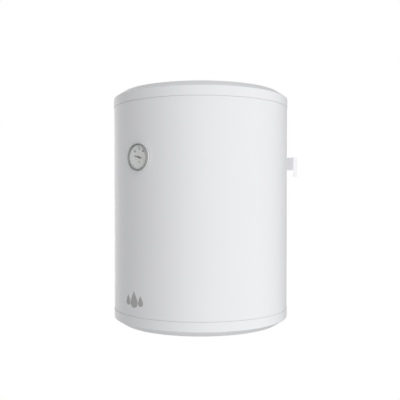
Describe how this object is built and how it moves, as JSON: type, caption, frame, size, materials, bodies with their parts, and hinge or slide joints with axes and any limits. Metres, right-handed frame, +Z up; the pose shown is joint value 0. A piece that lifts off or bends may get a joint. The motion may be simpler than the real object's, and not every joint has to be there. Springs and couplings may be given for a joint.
{
  "type": "wall-hung electric tank water heater",
  "caption": "White wall-hung cylindrical electric water heater with end covers, a dial thermometer on the front, a hook plate on the back and its pipes underneath.",
  "frame": {"origin": "middle of the hook plate's back face, 15.5 mm in front of the wall", "axes": "+Y out of the back of the heater into the wall, +Z up along the heater, +X to the right as seen from the front"},
  "size_m": [0.4404, 0.4725, 0.5987],
  "materials": {
    "enamelled_casing": "smooth white powder coat, semi-gloss",
    "white_plastic": "fine satin white moulding",
    "zinc_steel": "zinc-plated sheet and fasteners, satin",
    "black_plastic": "fine matt black moulding",
    "chrome_trim": "satin chrome-plated trim ring",
    "dial_face": "printed pale grey face, matt",
    "needle_paint": "dark red paint, satin",
    "clear_lens": "clear polished window",
    "copper": "drawn copper, lightly tarnished",
    "tank_enamel": "dark blue vitreous enamel, glossy",
    "foam": "foamed-in-place polyurethane, matt and porous",
    "flange_steel": "plain steel, satin",
    "rubber": "moulded gasket rubber, matt",
    "magnesium": "cast magnesium, dull",
    "brass": "turned brass, satin",
    "blue_plastic": "blue moulding, satin",
    "red_plastic": "red moulding, satin",
    "amber_plastic": "translucent amber moulding, glossy",
    "brown_lead": "brown insulated lead, satin",
    "green_yellow_lead": "green and yellow insulated earth lead, satin"
  },
  "bodies": {
    "heater": {"casing": "enamelled_casing", "top_cover": "enamelled_casing", "bottom_cover": "enamelled_casing", "service_lid": "white_plastic", "hook_plate": "zinc_steel", "hanger_arm_left": "zinc_steel", "hanger_arm_right": "zinc_steel", "lower_spacer": "white_plastic", "gauge_housing": "black_plastic", "gauge_bezel": "chrome_trim", "gauge_dial": "dial_face", "gauge_lens": "clear_lens", "gauge_capillary": "copper", "gauge_bulb": "copper", "tank_shell": "tank_enamel", "tank_dome_top": "tank_enamel", "tank_dome_bottom": "tank_enamel", "foam_insulation": "foam", "flange_plate": "flange_steel", "flange_gasket": "rubber", "heating_element": "copper", "thermostat_pocket": "flange_steel", "anode_rod": "magnesium", "anode_nut": "zinc_steel", "earth_bolt": "brass", "cold_inlet_pipe": "flange_steel", "cold_diffuser": "white_plastic", "hot_outlet_pipe": "flange_steel", "cold_collar": "blue_plastic", "hot_collar": "red_plastic", "thermostat_body": "black_plastic", "thermostat_probe": "copper", "cutout_body": "black_plastic", "pilot_lens": "amber_plastic", "pilot_lamp": "black_plastic", "terminal_block": "white_plastic", "cable_gland": "black_plastic", "gland_nut": "black_plastic", "wire_live": "brown_lead", "wire_neutral": "blue_plastic", "wire_earth": "green_yellow_lead", "wire_element_live": "brown_lead", "wire_element_neutral": "blue_plastic", "lid_screw_1": "zinc_steel", "lid_screw_2": "zinc_steel", "lid_screw_3": "zinc_steel", "spacer_screw_1": "zinc_steel", "element_terminal_1": "brass", "spacer_screw_2": "zinc_steel", "element_terminal_2": "brass", "flange_bolt_1": "zinc_steel", "flange_bolt_2": "zinc_steel", "flange_bolt_3": "zinc_steel", "flange_bolt_4": "zinc_steel", "flange_bolt_5": "zinc_steel", "flange_bolt_6": "zinc_steel"},
    "gauge_needle": {"gauge_needle": "needle_paint"},
    "thermostat_knob": {"thermostat_knob": "white_plastic", "thermostat_shaft": "zinc_steel"},
    "reset_button": {"reset_button": "red_plastic"}
  },
  "joints": [
    {"name": "gauge_needle_turn", "type": "hinge", "parent": "heater", "child": "gauge_needle", "pos_m": [0, -0.4495, -0.0013], "axis": [0, -1, 0], "range_deg": [-210, 60]},
    {"name": "thermostat_knob_turn", "type": "hinge", "parent": "heater", "child": "thermostat_knob", "pos_m": [0, -0.2615, -0.4143], "axis": [0, 0, 1], "range_deg": [-135, 135]},
    {"name": "reset_button_press", "type": "slide", "parent": "heater", "child": "reset_button", "axis": [0, 0, 1], "range_m": [0, 0.0025], "stiffness_N_per_m": 500, "springref_m": -0.001}
  ]
}
